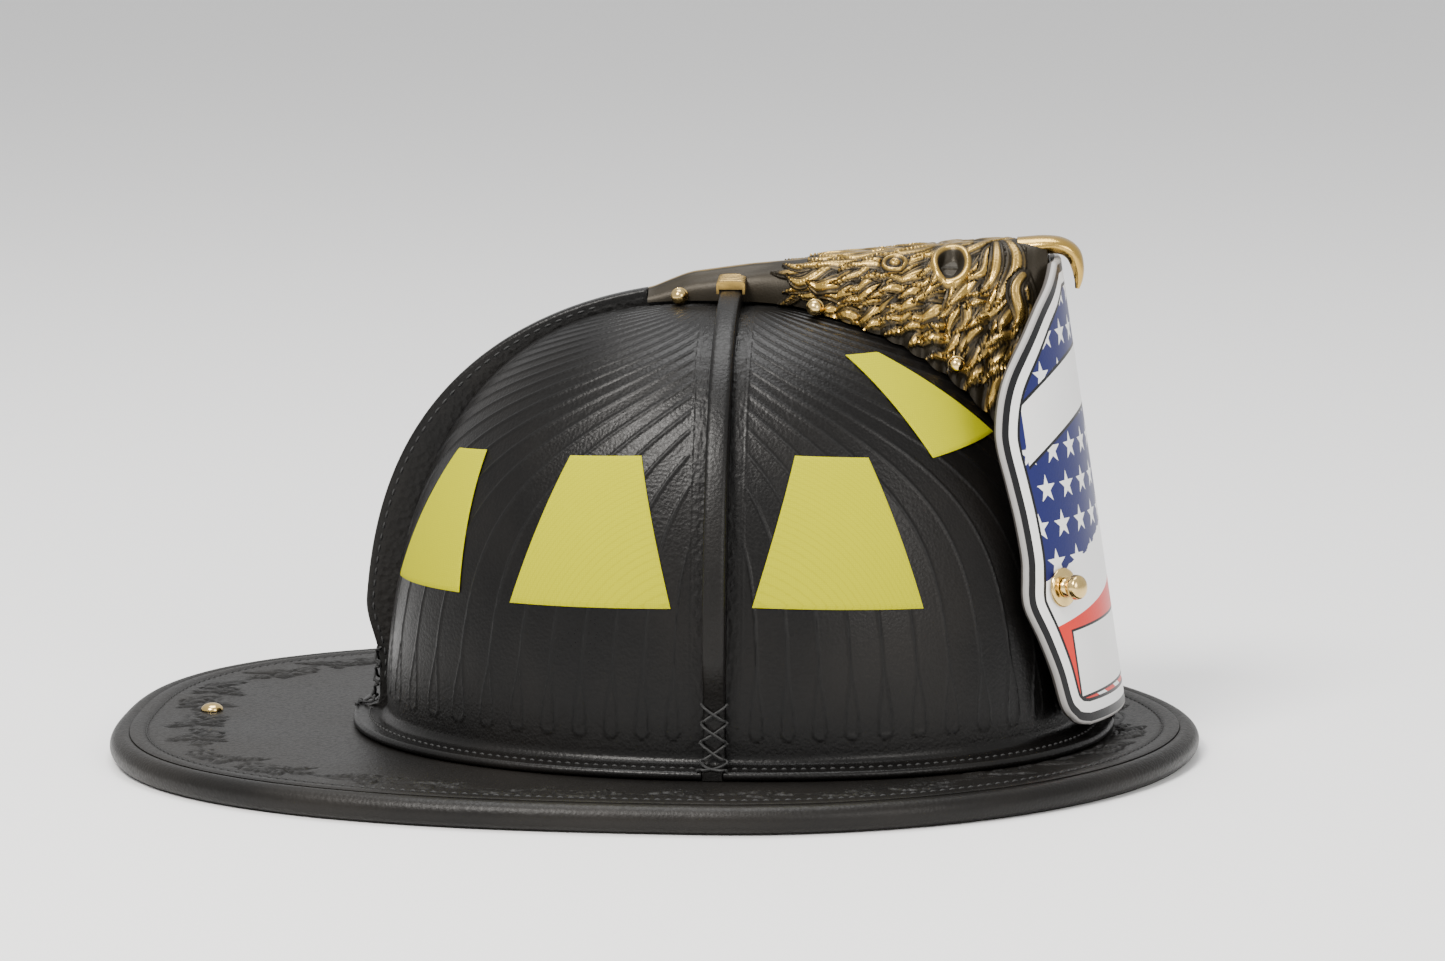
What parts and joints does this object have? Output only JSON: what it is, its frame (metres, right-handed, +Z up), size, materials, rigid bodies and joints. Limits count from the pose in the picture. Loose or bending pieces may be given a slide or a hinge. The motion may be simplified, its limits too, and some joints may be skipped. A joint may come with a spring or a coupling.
{
  "type": "firefighter helmet",
  "caption": "Traditional leather firefighter helmet: tooled crown with raised combs, rolled brim, brass front holder, bent front shield and an inner ratchet suspension",
  "frame": {"origin": "middle of the box of the whole helmet, on the table that the rolled brim rests on", "axes": "+Z up, the front of the helmet faces -Y, the wearer's left is +X"},
  "size_m": [0.2898, 0.385, 0.1831],
  "materials": {
    "crown_leather": "satin black, tooled",
    "comb_leather": "satin black",
    "brim_leather": "satin black, tooled",
    "brass": "polished",
    "antique_brass": "antiqued",
    "reflective_trim": "fluorescent lime",
    "shield_leather": "painted",
    "nylon": "moulded",
    "cap_plastic": "moulded",
    "foam": "foam",
    "webbing": "woven",
    "flap_cloth": "woven",
    "brow_leather": "soft",
    "steel": "satin"
  },
  "bodies": {
    "helmet": {"brim": "brim_leather", "brim_binding": "brim_leather", "brim_edge_wire": "steel", "brow_pad": "brow_leather", "buckle_socket": "nylon", "buckle_tongue": "nylon", "chin_strap_left": "webbing", "chin_strap_right": "webbing", "comb_front": "comb_leather", "comb_left": "comb_leather", "comb_rear": "comb_leather", "comb_right": "comb_leather", "crown_panel_front_left": "crown_leather", "crown_panel_front_right": "crown_leather", "crown_panel_rear_left": "crown_leather", "crown_panel_rear_right": "crown_leather", "crown_strap_left_front": "webbing", "crown_strap_right_front": "webbing", "ear_neck_flap": "flap_cloth", "foam_liner": "foam", "front_holder": "antique_brass", "front_shield": "shield_leather", "hanger_plate": "steel", "hanger_rivet": "brass", "headband": "nylon", "holder_bolt_front": "brass", "holder_bolt_middle": "brass", "holder_bolt_rear": "brass", "holder_nut_front": "brass", "holder_nut_middle": "brass", "holder_nut_rear": "brass", "impact_cap": "cap_plastic", "ratchet_housing": "nylon", "reflective_trim_mid_front_left": "reflective_trim", "reflective_trim_mid_front_right": "reflective_trim", "reflective_trim_mid_rear_left": "reflective_trim", "reflective_trim_mid_rear_right": "reflective_trim", "reflective_trim_rear_left": "reflective_trim", "reflective_trim_rear_right": "reflective_trim", "reflective_trim_upper_front_left": "reflective_trim", "reflective_trim_upper_front_right": "reflective_trim", "shield_nut_left": "steel", "shield_nut_right": "steel", "shield_screw_left": "brass", "shield_screw_right": "brass", "shield_spacer_left": "nylon", "shield_spacer_right": "nylon", "shield_washer_left": "brass", "shield_washer_right": "brass", "strap_key_front_left": "nylon", "strap_key_front_right": "nylon", "strap_key_rear_left": "nylon", "strap_key_rear_right": "nylon"},
    "knob": {"ratchet_knob": "nylon", "ratchet_pinion": "nylon"},
    "tail_left": {"band_tail_left": "nylon"},
    "tail_right": {"band_tail_right": "nylon"},
    "hanger_ring": {"hanger_ring": "steel"},
    "strap_slide": {"strap_slide": "nylon"},
    "buckle_lever": {"buckle_lever": "nylon"}
  },
  "joints": [
    {"name": "ratchet_knob_turn", "type": "hinge", "parent": "helmet", "child": "knob", "pos_m": [0, 0.00426, 0.0235], "axis": [0, 1, 0], "range_deg": [-75, 75]},
    {"name": "left_tail_travel", "type": "hinge", "parent": "helmet", "child": "tail_left", "pos_m": [0, 0.00426, 0.0235], "axis": [0, 0, -1], "range_deg": [-7.2, 7.2]},
    {"name": "right_tail_travel", "type": "hinge", "parent": "helmet", "child": "tail_right", "pos_m": [0, 0.00426, 0.0235], "axis": [0, 0, 1], "range_deg": [-7.2, 7.2]},
    {"name": "hanger_ring_swing", "type": "hinge", "parent": "helmet", "child": "hanger_ring", "pos_m": [0, 0.1525, 0.0036], "axis": [1, 0, 0], "range_deg": [0, 150]},
    {"name": "strap_slide_travel", "type": "slide", "parent": "helmet", "child": "strap_slide", "axis": [1, 0, 0], "range_m": [-0.006, 0.006]},
    {"name": "buckle_lever_press", "type": "hinge", "parent": "helmet", "child": "buckle_lever", "pos_m": [0.028, -0.1387, 0.013], "axis": [0, 0, -1], "range_deg": [0, 4.5], "stiffness_Nm_per_rad": 0.02}
  ],
  "couplings": [
    {"joint": "left_tail_travel", "follows": "ratchet_knob_turn", "ratio": 0.0925},
    {"joint": "right_tail_travel", "follows": "ratchet_knob_turn", "ratio": 0.0925}
  ]
}
